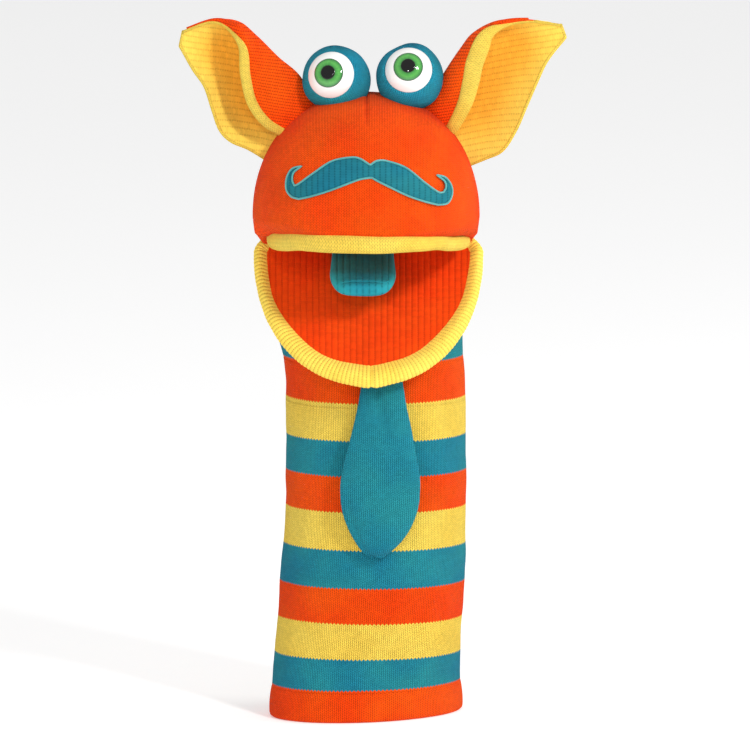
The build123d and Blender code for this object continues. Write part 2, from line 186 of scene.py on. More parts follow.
class Material:
    """A material's node tree, with its shader and the usual inputs at hand."""

    def __init__(self, name, roughness, **shader):
        self.material = bpy.data.materials.new(name)
        self.material.use_nodes = True
        self.tree = self.material.node_tree
        self.shader = self.tree.nodes["Principled BSDF"]
        self.shader.inputs["Roughness"].default_value = roughness
        self.blend_by = None
        for socket, value in shader.items():
            label = socket.replace("_", " ").title().replace("Ior", "IOR")
            self.shader.inputs[label].default_value = value

    def node(self, kind, **settings):
        node = self.tree.nodes.new(kind)
        for key, value in settings.items():
            setattr(node, key, value)
        return node

    def link(self, value, socket):
        self.tree.links.new(value.socket if isinstance(value, Value) else value, socket)

    def split(self, socket):
        """The x, y and z of a vector, as values."""
        parts = self.node("ShaderNodeSeparateXYZ")
        self.link(socket, parts.inputs[0])
        return [Value(self.tree, out) for out in parts.outputs]

    def stitches(self):
        """The piece's stitch coordinates: wales across and rows up."""
        return self.split(self.node("ShaderNodeUVMap", uv_map="stitches").outputs[0])[:2]

    def place(self):
        return self.node("ShaderNodeTexCoord").outputs["Object"]

    def noise(self, scale, detail=3.0):
        """Noise over the piece, scale features a metre."""
        node = self.node("ShaderNodeTexNoise")
        node.inputs["Scale"].default_value = scale
        node.inputs["Detail"].default_value = detail
        self.link(self.place(), node.inputs["Vector"])
        return Value(self.tree, node.outputs["Fac"])

    def each(self, *cells):
        """A random value from 0 to 1 for each whole-numbered cell."""
        join = self.node("ShaderNodeCombineXYZ")
        for value, socket in zip(cells, join.inputs):
            self.link(value, socket)
        node = self.node("ShaderNodeTexWhiteNoise", noise_dimensions="3D")
        self.link(join.outputs[0], node.inputs["Vector"])
        return Value(self.tree, node.outputs["Value"])

    def ramp(self, value, stops, interpolation="LINEAR"):
        node = self.node("ShaderNodeValToRGB")
        ramp = node.color_ramp
        ramp.interpolation = interpolation
        while len(ramp.elements) < len(stops):
            ramp.elements.new(0.5)
        for element, (at, colour) in zip(ramp.elements, stops):
            element.position = at
            element.color = (*colour, 1.0)
        self.link(value, node.inputs[0])
        return node.outputs[0]

    def shade(self, colour, by):
        """A colour, or a pair of shades to drift between, made darker or lighter by a value."""
        node = self.node("ShaderNodeVectorMath", operation="SCALE")
        if not isinstance(colour, tuple):
            self.link(colour, node.inputs[0])
        elif isinstance(colour[0], tuple):
            self.link(self.drift(*colour), node.inputs[0])
        else:
            node.inputs[0].default_value = colour
        self.link(by, node.inputs["Scale"])
        return node.outputs[0]

    def drift(self, *shades):
        """A mixture of two shades that changes slowly from place to place."""
        node = self.node("ShaderNodeMix", data_type="RGBA")
        for shade, socket in zip(shades, (node.inputs["A"], node.inputs["B"])):
            if isinstance(shade, tuple):
                socket.default_value = (*shade, 1.0)
            else:
                self.link(shade, socket)
        self.link(self.blend_by or self.noise(26.0).between(0.3, 0.7), node.inputs["Factor"])
        return node.outputs["Result"]

    def colour(self, socket):
        self.link(socket, self.shader.inputs["Base Color"])

    def bump(self, height, distance, strength=1.0):
        node = self.node("ShaderNodeBump")
        node.inputs["Strength"].default_value = strength
        node.inputs["Distance"].default_value = distance * MM
        self.link(height, node.inputs["Height"])
        self.link(node.outputs[0], self.shader.inputs["Normal"])


# Each yarn is a pair of shades, which it drifts between; the ear lining's first, deeper shade is instead
# painted shade, laid deepest at the back of its hollow
ORANGE = ((0.93, 0.058, 0.003), (0.95, 0.095, 0.004))
YELLOW = ((0.94, 0.64, 0.085), (0.93, 0.69, 0.11))
EAR_YELLOW_WITH_PAINTED_SHADE = ((0.90, 0.40, 0.035), (0.94, 0.66, 0.10))
TEAL = ((0.013, 0.215, 0.325), (0.022, 0.275, 0.315))
TONGUE_TEAL = ((0.016, 0.270, 0.370), (0.028, 0.350, 0.380))
PALE_TEAL = ((0.10, 0.43, 0.42), (0.16, 0.50, 0.48))
DEEP_ORANGE = ((0.74, 0.042, 0.003), (0.80, 0.066, 0.004))
MOUSTACHE_TEAL = ((0.011, 0.150, 0.220), (0.020, 0.185, 0.210))
EYE_TEAL = ((0.016, 0.270, 0.420), (0.024, 0.330, 0.400))


def yarn_material(name, sheen=0.03):
    return Material(name, 0.95, sheen_weight=sheen, sheen_roughness=0.5, specular_ior_level=0.05)


def stockinette(name, colour, relief=0.5, stripes=None):
    """Plain knit: columns of V-shaped stitches. stripes lists (top row, colour) from the lowest up."""
    made = yarn_material(name)
    across, up = made.stitches()
    from_middle = (across.fract() - 0.5).size() * 2.0
    slanted = up - from_middle * 0.8
    row = slanted.floor()
    leg = (slanted.fract() * math.pi).sine()
    column = (from_middle * math.pi).sine().size() ** 0.55
    height = column * (leg * 0.65 + 0.35)
    yarn = colour
    if stripes:
        total = stripes[-1][0]
        starts = [0.0, *(top / total for top, _ in stripes[:-1])]
        at = (row + 0.5) / total
        tones = [
            made.ramp(at, [(start, shades[i]) for start, (_, shades) in zip(starts, stripes)], "CONSTANT")
            for i in (0, 1)
        ]
        yarn = made.drift(*tones)
    uneven = made.each(across.floor(), row) * 0.14 + made.noise(55.0) * 0.22 + made.noise(900.0, 2.0) * 0.12
    # painted shade: the colour darkens down to 0.45 where the stitch height is low, in the hollows between
    # legs and columns
    made.colour(made.shade(yarn, height.between(0.05, 0.8, 0.45, 1.0) * (uneven + 0.80)))
    fibres = made.noise(2600.0, 2.0)
    made.bump(height + fibres * 0.22, relief)
    return made.material


def ribbed(name, colour, relief=0.4, hollow=None, darkest=0.62):
    """Ribbed knit: smooth ribs, with the stitches showing as dots along the grooves between them.

    hollow is the y, in millimetres, of the front and the back of a hollow, in which painted shade deepens
    the colour towards the back."""
    made = yarn_material(name)
    if hollow:
        # painted shade: over the hollow the colour is mixed towards the first, deeper shade, fully so at its
        # back
        made.blend_by = made.split(made.place())[1].between(*(y * MM for y in hollow), 1.0, 0.0)
    across, up = made.stitches()
    from_middle = (across.fract() - 0.5).size() * 2.0
    row = up - from_middle * 0.4
    stitch = (row.fract() * math.pi).sine()
    groove = from_middle.between(0.5, 1.0)
    height = groove * (stitch * 0.55 - 1.0) + stitch * 0.15 + 0.95
    uneven = made.each(across.floor(), row.floor()) * 0.12 + made.noise(60.0) * 0.2 + 0.82
    # painted shade: the colour falls to darkest in the grooves between the ribs, where the height is low
    made.colour(made.shade(colour, height.between(0.0, 1.0, darkest, 1.0) * uneven))
    made.bump(height + made.noise(2600.0, 2.0) * 0.12, relief)
    return made.material


def satin(name, colour):
    """Close satin stitches that lie across an edging."""
    made = yarn_material(name, 0.1)
    made.shader.inputs["Roughness"].default_value = 0.55
    across, up = made.stitches()
    thread = ((across + up * 0.6).fract() * math.pi).sine()
    # painted shade and highlight: darker between the threads and a little lighter than the yarn on their
    # crests
    made.colour(made.shade(colour, thread.between(0.0, 0.9, 0.6, 1.05) * (made.noise(120.0) * 0.3 + 0.85)))
    made.bump(thread, 0.25)
    return made.material


def plastic(name, colour, rough=0.08, coat=0.6):
    made = Material(name, rough, coat_weight=coat, coat_roughness=0.04, specular_ior_level=0.4)
    made.colour(made.shade(colour, made.noise(40.0) * 0.04 + 0.98))
    made.bump(made.noise(300.0), 0.01, 0.3)
    return made.material


def iris_material():
    """Green with lighter streaks that run out from the pupil, and a dark rim."""
    made = Material("iris_green", 0.08, coat_weight=0.8, coat_roughness=0.03, specular_ior_level=0.5)
    around, out = made.stitches()
    streak = made.each((around * 2.0).floor(), (out * 2.0).floor()) * 0.25 + (around * TAU).sine() * 0.12
    green = made.ramp(
        out + streak * 0.12,
        [(0.0, (0.01, 0.06, 0.01)), (0.18, (0.04, 0.26, 0.04)), (0.55, (0.08, 0.38, 0.06)),
         (0.88, (0.03, 0.20, 0.04)), (1.0, (0.006, 0.035, 0.01))],
    )  # fmt: skip
    made.colour(made.shade(green, streak + 0.9))
    made.bump(streak, 0.02, 0.4)
    return made.material


def plain_cloth(name, colour, scale=900.0):
    """Woven or foam-like inner material."""
    made = Material(name, 0.95, sheen_weight=0.1)
    grain = made.noise(scale)
    made.colour(made.shade(colour, grain * 0.3 + 0.8))
    made.bump(grain, 0.2)
    return made.material


STRIPE_TOPS = [16, 35, 55, 77, 97, 119, 140, 160, 184, 205.5, 226, 248, 420]
STRIPE_COLOURS = [ORANGE, TEAL, YELLOW] * 4 + [ORANGE]
STRIPES = [(round(top / COURSE), shade) for top, shade in zip(STRIPE_TOPS, STRIPE_COLOURS)]
STRIPED = stockinette("striped_knit", None, stripes=STRIPES)
FACE_KNIT = stockinette("orange_knit", ORANGE, 0.4)
TEAL_KNIT = stockinette("teal_knit", TEAL)
EYE_KNIT = stockinette("eye_ball_knit", EYE_TEAL)
TEAL_RIB = ribbed("teal_rib", MOUSTACHE_TEAL, 0.3)
TONGUE_RIB = ribbed("tongue_rib", TONGUE_TEAL)
PALATE_RIB = ribbed("orange_rib", DEEP_ORANGE, 0.3, darkest=0.8)
LIP_RIB = ribbed("yellow_rib", YELLOW, 0.3)
LIP_KNIT = stockinette("yellow_knit", YELLOW, 0.35)
EAR_RIB = ribbed("ear_rib", EAR_YELLOW_WITH_PAINTED_SHADE, 0.3, hollow=(-25.0, -13.0), darkest=0.78)
SATIN = satin("teal_satin", PALE_TEAL)
THREAD = satin("orange_thread", ORANGE)
WHITE = plastic("eye_white", (0.86, 0.86, 0.84))
BLACK = plastic("eye_black", (0.003, 0.003, 0.003), 0.05, 0.05)
IRIS = iris_material()
WASHER = plastic("washer_plastic", (0.7, 0.7, 0.68), 0.4)
BOARD = plain_cloth("mouth_board", (0.62, 0.58, 0.50), 300.0)
POCKET = stockinette("pocket_knit", DEEP_ORANGE)


# ---------------------------------------------------------------- meshes
def in_scene(name, data):
    """A new object in the scene."""
    made = bpy.data.objects.new(name, data)
    bpy.context.scene.collection.objects.link(made)
    return made


def mesh_piece(name, points, faces, loops_uv, material):
    """A mesh object from points in millimetres, with a stitch coordinate for each face corner."""
    mesh = bpy.data.meshes.new(name)
    mesh.from_pydata([tuple(c * MM for c in point) for point in points], [], faces)
    layer = mesh.uv_layers.new(name="stitches")
    layer.data.foreach_set("uv", np.array(loops_uv, dtype=np.float32).ravel())
    mesh.materials.append(material)
    mesh.shade_smooth()
    return in_scene(name, mesh)


def grid(name, surface, across, up, material, closed=False, flip=False):
    """A sheet from surface(a, b), which gives (point, stitch coordinate) for a and b from 0 to 1."""
    rows = [[surface(i / across, j / up) for i in range(across + 1)] for j in range(up + 1)]
    width = across if closed else across + 1
    points = [rows[j][i][0] for j in range(up + 1) for i in range(width)]
    faces, uvs = [], []
    for j in range(up):
        for i in range(across):
            corners = [(i, j), (i + 1, j), (i + 1, j + 1), (i, j + 1)]
            if flip:
                corners.reverse()
            faces.append([q * width + p % width for p, q in corners])
            uvs += [rows[q][p][1] for p, q in corners]
    return mesh_piece(name, points, faces, uvs, material)


def modified(piece, kind, **settings):
    """Puts a modifier on a piece, and makes its result the piece's mesh."""
    modifier = piece.modifiers.new(kind, kind)
    for key, value in settings.items():
        setattr(modifier, key, value)
    ready = piece.evaluated_get(bpy.context.evaluated_depsgraph_get())
    mesh = bpy.data.meshes.new_from_object(ready)
    piece.modifiers.clear()
    piece.data = mesh


def thicken(piece, thickness, offset=-1.0):
    """Gives a sheet its thickness, in millimetres, towards its back unless offset says otherwise."""
    modified(piece, "SOLIDIFY", thickness=thickness * MM, offset=offset, use_even_offset=False)


def tube(name, rings, coordinates, material, closed=False, centres=None):
    """A skin over rings of points, with its open ends closed by a fan round their centres or by one face.

    coordinates has each ring's stitch coordinates, one more than the ring has points."""
    around, count = len(rings[0]), len(rings)
    points = [point for one in rings for point in one]
    faces, uvs = [], []
    for i in range(count if closed else count - 1):
        j = (i + 1) % count
        here = coordinates[i]
        next_x = coordinates[j][0][0] if j else here[0][0] + 1.0
        for k in range(around):
            m = (k + 1) % around
            faces.append([i * around + k, i * around + m, j * around + m, j * around + k])
            uvs += [here[k], here[k + 1], (next_x, here[k + 1][1]), (next_x, here[k][1])]
    for end, order in () if closed else ((0, 1), (count - 1, -1)):
        base = end * around
        if centres:
            points.append(centres[end])
            for k in range(around):
                faces.append([base + k, len(points) - 1, base + (k + 1) % around][::order])
                uvs += [coordinates[end][0]] * 3
        else:
            faces.append([base + k for k in range(around)][::-order])
            uvs += [coordinates[0][0]] * around
    return mesh_piece(name, points, faces, uvs, material)


def roll(name, path, section, material, wales=1.0, rows=1.0, up=(0, 0, 1), closed=False):
    """A tube along path. section(along, angle) gives how far it stands out (sideways, up) there.

    wales is the length of a stitch along the path in millimetres, and rows is how many go round it."""
    around, count = 20, len(path)
    rings, coordinates = [], []
    length = 0.0
    for i, point in enumerate(path):
        if i:
            length += (Vector(point) - Vector(path[i - 1])).length
        before = path[(i - 1) % count if closed else max(i - 1, 0)]
        after = path[(i + 1) % count if closed else min(i + 1, count - 1)]
        direction = (Vector(after) - Vector(before)).normalized()
        side = direction.cross(Vector(up[i] if isinstance(up, list) else up)).normalized()
        above = side.cross(direction).normalized()
        outline = [section(i / (count - 1), TAU * k / around) for k in range(around)]
        rings.append([tuple(Vector(point) + side * w + above * h) for w, h in outline])
        coordinates.append([(length / wales, k / around * rows) for k in range(around + 1)])
    return tube(name, rings, coordinates, material, closed, path)


def oval(width, height):
    return lambda along, angle: (width * math.cos(angle), height * math.sin(angle))


# ---------------------------------------------------------------- camera, floor and light
def make_camera():
    """A very long lens, a little above level, straight in front."""
    camera = in_scene("camera", bpy.data.cameras.new("camera"))
    target, distance, raised = Vector((0.0037, 0.0, 0.1950)), 14.0, math.radians(10)
    camera.location = target + distance * Vector((0.0, -math.cos(raised), math.sin(raised)))
    camera.rotation_euler = (math.pi / 2 - raised, 0.0, 0.0)
    camera.data.lens = 1180
    bpy.context.scene.camera = camera


def make_stage():
    """A pale floor under soft light, with one stronger lamp high on the right."""
    width = 18000.0

    def level(a, b):
        return (width * (a - 0.5), width * (b - 0.5), 0.0), (a, b)

    floor = grid("floor", level, 2, 2, plain_floor())
    world = bpy.data.worlds.new("world")
    world.use_nodes = True
    sky = world.node_tree.nodes["Background"]
    sky.inputs["Color"].default_value = (1.0, 1.0, 1.0, 1.0)
    sky.inputs["Strength"].default_value = 0.60
    bpy.context.scene.world = world
    for name, place, size, power in (
        ("key", (1.3, -1.6, 1.6), 0.3, 27.0),
        ("fill", (-1.3, -1.6, 0.8), 1.0, 7.0),
        ("front", (-0.15, -2.4, 1.3), 0.12, 7.0),
        ("rim", (1.5, 0.1, 0.9), 0.8, 10.0),
    ):
        light = bpy.data.lights.new(name, "AREA")
        light.size = size
        light.energy = power
        lamp = in_scene(name, light)
        lamp.location = place
        lamp.visible_glossy = size < 0.5  # only the small lamps show in the plastic eyes
        aim = Vector((0.0, 0.0, 0.22)) - Vector(place)
        lamp.rotation_euler = aim.to_track_quat("-Z", "Y").to_euler()
    bpy.context.scene.view_settings.view_transform = "Standard"


def plain_floor():
    made = Material("pale_floor", 0.9, emission_strength=0.26)
    made.shader.inputs["Emission Color"].default_value = (1.0, 1.0, 1.0, 1.0)
    made.colour(made.shade((0.9, 0.9, 0.9), made.noise(3.0) * 0.02 + 0.99))
    return made.material


# ---------------------------------------------------------------- sleeve
def ring_arc(angle, rx, ry):
    """Length along an oval from its front to that angle, near enough for counting stitches."""
    steps = 24
    total = 0.0
    for i in range(steps):
        mid = angle * (i + 0.5) / steps
        total += math.hypot(rx * math.cos(mid), ry * math.sin(mid))
    return total * angle / steps


ARC_STEPS = 256
ARC_TABLE = [ring_arc(math.pi * i / ARC_STEPS, NECK_RX, NECK_RY) for i in range(ARC_STEPS + 1)]


def neck_arc(angle):
    """As ring_arc for the neck's oval, from a table."""
    at = min(abs(angle) / math.pi * ARC_STEPS, ARC_STEPS - 0.001)
    i = int(at)
    return math.copysign(lerp(ARC_TABLE[i], ARC_TABLE[i + 1], at - i), angle)


HALF_WALES = round(ARC_TABLE[-1] / WALE)


def lean(z):
    """How far the sleeve's middle line lies to the right at a height."""
    return lerp(lerp(-1.4, 4.0, smooth(z, 5, 120)), -1.3, smooth(z, 190, 240))


def sleeve_point(angle, z, inset=0.0):
    """A point of the sleeve, at an angle from the front and a height."""
    flare = 1.0 - smooth(z, 0, 26)
    rx = lerp(SLEEVE_RX, NECK_RX, smooth(z, 0, SLEEVE_TOP)) + (HEM_RX - SLEEVE_RX) * flare + 0.2
    ry = lerp(SLEEVE_RY, NECK_RY, smooth(z, 0, SLEEVE_TOP)) + (HEM_RY - SLEEVE_RY) * flare
    x, y = math.sin(angle), -math.cos(angle)
    soft = 0.55 * rumple((60 * x, 60 * y, z), 34.0) + 0.22 * rumple((60 * x, 60 * y, z), 11.0, 3.0)
    soft *= smooth(z, 2, 30) * 1.6 * (1 - smooth(z, 190, NECK))
    twist = 0.2 * (1 - smooth(z, 0, 50))
    return (lean(z) + (rx - inset + soft) * x, (ry - inset + soft) * y + twist * rx * x, z)


def sleeve_sheet(low, high):
    """The surface of a stretch of sleeve, for grid()."""

    def surface(a, b):
        angle, z = TAU * (a - 0.5), lerp(low, high, b)
        return sleeve_point(angle, z), (HALF_WALES * (2 * a - 1), z / COURSE)

    return surface


def make_sleeve():
    """Hem, sleeve and the two halves of the bending wrist, all in one run of stitches."""
    count = 240
    lower = grid("striped_sleeve", sleeve_sheet(HEM_TOP - 1.5, WRIST), count, 110, STRIPED, closed=True)
    thicken(lower, KNIT)
    upper = grid("striped_wrist", sleeve_sheet(WRIST, NECK + 0.6), count, 24, STRIPED, closed=True)
    thicken(upper, KNIT)

    def hem_surface(a, b):
        """Down the inside of the hem, round its rim and up its outside."""
        angle = TAU * (a - 0.5)
        rim, wall = 1.9, 0.42
        if b < wall:
            z = lerp(HEM_TOP - 0.5, rim, b / wall)
            inset = 4.0
        elif b > 1 - wall:
            z = lerp(rim, HEM_TOP - 0.4, (b - 1 + wall) / wall)
            inset = 0.0
        else:
            turn = (b - wall) / (1 - 2 * wall) * math.pi
            z = rim - rim * math.sin(turn)
            inset = 2.0 + 2.0 * math.cos(turn)
        if b >= wall:
            inset -= 0.75 * math.sin(math.pi * min(max(z / HEM_TOP, 0), 1)) ** 0.5
        wave = 0.45 * rumple((50 * math.sin(angle), 50 * math.cos(angle), 5.0), 26.0, 7.0)
        x, y, _ = sleeve_point(angle, z, inset - wave)
        return (x, y, z), (HALF_WALES * (2 * a - 1), z / COURSE)

    hem = grid("turned_hem", hem_surface, count, 36, STRIPED, closed=True)
    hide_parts("sleeve_tube")
    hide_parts("wrist_knit")
    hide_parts("sleeve_hem")
    spots = 300
    zigzag = [3.0 + 0.25 * math.sin(i * TAU / 3) for i in range(spots)]
    path = [sleeve_point(TAU * i / spots, HEM_TOP + 0.6, inset) for i, inset in enumerate(zigzag)]
    stitches = roll("hem_stitches", path, oval(0.45, 0.45), THREAD, 1.2, 2.0, closed=True)
    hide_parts("hem_thread")
    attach(hem, "sleeve")
    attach(stitches, "sleeve")
    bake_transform(lower)
    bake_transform(upper)


# ---------------------------------------------------------------- head
DOME_POWER = 2.12
FACE_RX = HEAD_RX - 1.1
CROWN = EQUATOR + HEAD_RZ - 0.02  # just short of the dome's pole
DOME_ARC_R = (HEAD_RY + HEAD_RZ) / 2
SEAM_LOW, SEAM_LOW_Y = FOLD_Z + 9.0, 2.0


def ring(z):
    """Half width, half depth and middle y of the head at a height."""
    if z <= EQUATOR:
        t = (z - NECK) / (EQUATOR - NECK)
        t = lerp(t, smooth(t), 0.35)
        return lerp(NECK_RX, FACE_RX, t), lerp(NECK_RY, HEAD_RY, t), HEAD_Y * t
    high = min((z - EQUATOR) / HEAD_RZ, 1.0)
    share = rounded(high, DOME_POWER)
    return FACE_RX * share, HEAD_RY * share, HEAD_Y


def head_point(angle, z, out=0.0):
    """A point of the head's skin. out moves it outwards."""
    rx, ry, middle = ring(z)
    x, y = math.sin(angle), -math.cos(angle)
    point = Vector((rx * x + lean(z), middle + ry * y, z))
    steep = max(z - EQUATOR, 0.0) / HEAD_RZ
    normal = Vector((x / HEAD_RX, y / HEAD_RY, steep / HEAD_RZ)).normalized()
    soft = 0.35 * rumple(point, 30.0, 1.0) * smooth(z, NECK, NECK + 20)
    return point + normal * (out + soft)


def seam_y(z):
    """Where the seam from ear to ear runs, over the top of the head."""
    return lerp(SEAM_LOW_Y, HEAD_Y, smooth(z, SEAM_LOW - 30, EQUATOR + HEAD_RZ) if z > SEAM_LOW else 0.0)


def seam_angle(z):
    """The angle from the front at which the seam crosses a height."""
    _, ry, middle = ring(z)
    if ry < 0.5:
        return math.pi / 2
    return math.acos(max(-1.0, min(1.0, (middle - seam_y(z)) / ry)))


def head_stitch(angle, z):
    """Stitch coordinates on the head, for angles within a quarter turn of the front or a little more."""
    if z <= EQUATOR:
        t = (z - NECK) / (EQUATOR - NECK)
        return lerp(neck_arc(angle), HEAD_RX * angle, t) / WALE, z / COURSE
    rx, ry, _ = ring(z)
    x = max(-1.0, min(1.0, rx * math.sin(angle) / FACE_RX))
    across = HEAD_RX * math.asin(x)
    if abs(angle) < math.pi / 2:
        share = math.sqrt(max(1 - x * x, 1e-6))
        tilt = math.atan2((z - EQUATOR) / HEAD_RZ, ry * math.cos(angle) / HEAD_RY)
        up = DOME_ARC_R * share * tilt
    else:
        beyond = abs(angle) - math.pi / 2
        across = math.copysign(HEAD_RX * (beyond + math.asin(min(rx / FACE_RX, 1.0))), angle)
        up = DOME_ARC_R * math.pi / 2 * (z - EQUATOR) / HEAD_RZ
    return across / WALE, (EQUATOR + up) / COURSE


def lip_edge_z(y, above):
    """Height of a line along the upper palate, that far above the mouth's fold."""
    tilt = math.radians(UPPER_TILT)
    return FOLD_Z + (above - math.sin(tilt) * (y - FOLD_Y)) / math.cos(tilt)


def mouth_point(tilt, x, along, up):
    """A point given by its distance from the fold along a palate, and above it."""
    c, s = math.cos(math.radians(tilt)), math.sin(math.radians(tilt))
    return (x, FOLD_Y - along * c + up * s, FOLD_Z + along * s + up * c)


# The jaws' outlines are D-shaped: half width and length in millimetres, and how square they are
UPPER_LIP, UPPER_SHAPE = (53.8, 81.5), 2.3
LOWER_LIP_EDGE, LOWER_SHAPE = (65.3, 86.8), 2.15


def d_shape(turn, half_width, length, shape=UPPER_SHAPE):
    """(x, distance from the fold) on a D-shaped outline. turn is -1 at the left end and 1 at the right."""
    a = turn * math.pi / 2
    x = signed_power(math.sin(a), 2 / shape) * half_width
    return x, abs(math.cos(a)) ** (2 / shape) * length


def make_face():
    """The padded front of the head, with a small dart over the forehead."""
    def surface(a, b):
        turn = 2 * a - 1
        tuck = 0.06  # the share of the panel that is tucked in over the lip
        if b >= tuck:
            point, stitch = face_at(turn, (b - tuck) / (1 - tuck))
            return tuple(point), stitch
        share = 1 - b / tuck
        edge, stitch = face_at(turn, 0.0)
        x, along = d_shape(turn * 0.985, UPPER_LIP[0] - 1.0, UPPER_LIP[1] - 1.5)
        over_lip = Vector(mouth_point(UPPER_TILT, x, along, PALATE_GAP + 2.0))
        beside_lip = edge + Vector((-5.0 * math.copysign(1, turn), 1.0, 4.0))
        point = edge.lerp(over_lip.lerp(beside_lip, smooth(abs(turn), 0.80, 0.95)), share)
        point.z -= 1.6 * math.sin(math.pi * share)
        return tuple(point), (stitch[0], stitch[1] - share * 4)

    def face_at(turn, share):
        y = HEAD_Y - HEAD_RY
        cheek = 9.5 * smooth(abs(turn), 0.74, 1.0)
        raised = 1.2 + 3.6 * smooth(-turn, -0.1, 0.5)
        raised *= smooth(abs(turn), 0.1, 0.5) * (1 - smooth(abs(turn), 0.72, 0.86))
        for _ in range(4):
            low = lip_edge_z(y, 10.6 + raised) - cheek
            angle = turn * seam_angle(low)
            y = ring(low)[2] - ring(low)[1] * math.cos(angle)
        z = low + (CROWN - low) * math.sin(share * math.pi / 2) ** 0.92
        angle = turn * seam_angle(z)
        dart = peak(ring(z)[0] * math.sin(angle), 1.2) * smooth(z, EQUATOR + 56, EQUATOR + 66)
        bulge = math.sin(math.pi * min(share * 1.6, 1.0)) * math.cos(angle * 0.8) ** 2
        return head_point(angle, z, bulge - 1.8 * dart), head_stitch(angle, z)

    face = grid("face", surface, 150, 110, FACE_KNIT)
    thicken(face, KNIT)
    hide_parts("face_panel", "head_foam")
    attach(face, "head")


def make_back():
    """The back of the head and the nape, where the last stripes run into plain orange."""
    def surface(a, b):
        z = NECK + (CROWN - NECK) * math.sin(b * math.pi / 2) ** 0.95
        reach = math.pi - seam_angle(z)
        turn = (2 * a - 1) * reach
        stitch = head_stitch(turn, z)
        return tuple(head_point(math.pi - turn, z)), (HALF_WALES - stitch[0], stitch[1])

    back = grid("back_of_head", surface, 150, 130, STRIPED, flip=True)
    thicken(back, KNIT)
    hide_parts("back_panel")
    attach(back, "head")


CHIN_WEDGE = 8.0  # degrees between the lower board and the chin's knit
CHIN_DROP = 20.4
THROAT = (LOWER_TILT + CHIN_WEDGE, -CHIN_DROP - 4.4)  # tilt and height of the throat's sheet
THROAT_LOW, THROAT_CREASE = 60.0, 0.78  # where it starts, and at what share of it the crease is


def throat_edge(y):
    """Height of the neck's front edge, under the chin."""
    high = Vector(mouth_point(LOWER_TILT + CHIN_WEDGE, 0, 0, -CHIN_DROP - 4.2))
    slope = math.tan(math.radians(-LOWER_TILT - CHIN_WEDGE))
    return max(high.z - (high.y - y) * slope, NECK + 1.5)


def inside_neck(point):
    """Half the width between the neck's walls, at the depth and height of a point."""
    rx, ry, middle = ring(min(max(point[2], NECK), EQUATOR))
    return max(1 - ((point[1] - middle) / ry) ** 2, 0.02) ** 0.5 * rx - 0.6


def make_throat():
    """The neck's front under the chin, and the sheet of knit that folds when the mouth opens."""
    tilt, drop = THROAT

    def neck_surface(a, b):
        turn = 2 * a - 1
        y = 0.0
        high = NECK + 3
        for _ in range(5):
            angle = turn * seam_angle(high)
            y = ring(high)[2] - ring(high)[1] * math.cos(angle)
            high = throat_edge(y)
        z = lerp(NECK, high, b)
        angle = turn * seam_angle(z)
        return tuple(head_point(angle, z)), head_stitch(angle, z)

    neck = grid("neck_front", neck_surface, 120, 30, STRIPED)
    thicken(neck, KNIT)
    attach(neck, "head")

    def sheet_surface(a, b):
        """From the neck's front edge up behind the chin, and over the crease towards the mouth's fold."""
        turn = smooth(b, THROAT_CREASE, 1.0)
        up = min(b / THROAT_CREASE, 1.0)
        along, deep = lerp(THROAT_LOW, 7.0, up) - 10.0 * turn, drop + 11.0 * turn
        x = (2 * a - 1) * inside_neck(mouth_point(tilt, 0, along, deep))
        sag = 2.2 * math.sin(math.pi * up) * math.cos(math.pi * (a - 0.5))
        point = mouth_point(tilt, x, along, deep - sag)
        return point, (x / WALE, -along / COURSE)

    sheet = grid("throat_sheet", sheet_surface, 80, 50, FACE_KNIT)
    thicken(sheet, KNIT, 0.0)
    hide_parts("throat_knit")
    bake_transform(sheet)
    for side in SIDES:
        make_gusset(side)


def make_gusset(side):
    """The spare knit at one end of the throat's fold, which lies inside the neck until the mouth closes."""
    tilt, drop = THROAT

    def surface(a, b):
        along = lerp(THROAT_LOW, 1.0, a)
        spare = lerp(3.0, 29.0, a) * b
        point = mouth_point(tilt, 0, along, drop - spare)
        wall = inside_neck(point) - 2.6 * smooth(b, 0.0, 0.2)
        return (SIDES[side] * wall, point[1], point[2]), (along / WALE, spare / COURSE)

    gusset = grid(f"throat_gusset_{side}", surface, 40, 14, FACE_KNIT, flip=side == "left")
    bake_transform(gusset)


# ---------------------------------------------------------------- mouth
RIB = 3.5


def rib_wave(x):
    """The height of a smooth rib, with narrow grooves between ribs."""
    return abs(math.sin(math.pi * x / RIB)) ** 0.45


def make_palates():
    """The ribbed lining of both jaws, its ribs running from the fold to the lips."""
    for name, tilt, up, half, length, node, body, face in (
        ("lower_lining", LOWER_TILT, -PALATE_GAP, 59.0, 79.0, "lower_palate", "jaw", 1),
        ("upper_lining", UPPER_TILT, PALATE_GAP, 53.0, 79.0, "upper_palate", "head", -1),
    ):
        shape = LOWER_SHAPE if face > 0 else UPPER_SHAPE

        def surface(a, b, tilt=tilt, up=up, half=half, length=length, face=face, shape=shape):
            turn = 2 * a - 1
            x = turn * half
            limit = rounded(turn, shape) * length
            along = lerp(min(-1.0, limit - 1.0), limit, b)
            hollow = 2.4 * (1 - abs(turn) ** 2) * math.sin(math.pi * b) ** 2
            rib = 0.4 * rib_wave(x)
            point = mouth_point(tilt, x, along, up + face * (rib - hollow * 0.6))
            return point, (x / RIB, along / COURSE)

        lining = grid(name, surface, 400, 60, PALATE_RIB, flip=face > 0)
        thicken(lining, LINING)
        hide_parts(node)
        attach(lining, body)

    def fold_surface(a, b):
        """The lining's bend at the back of the mouth."""
        x = lerp(-57.0, 57.0, a)
        turn = math.radians(lerp(90 - UPPER_TILT, -90 - LOWER_TILT, b))
        radius = PALATE_GAP - 0.4 * rib_wave(x)
        point = (x, FOLD_Y + radius * math.cos(turn), FOLD_Z + radius * math.sin(turn))
        return point, (x / RIB, -b * 10)

    fold = grid("mouth_fold", fold_surface, 400, 16, PALATE_RIB, flip=True)
    thicken(fold, LINING)
    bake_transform(fold)


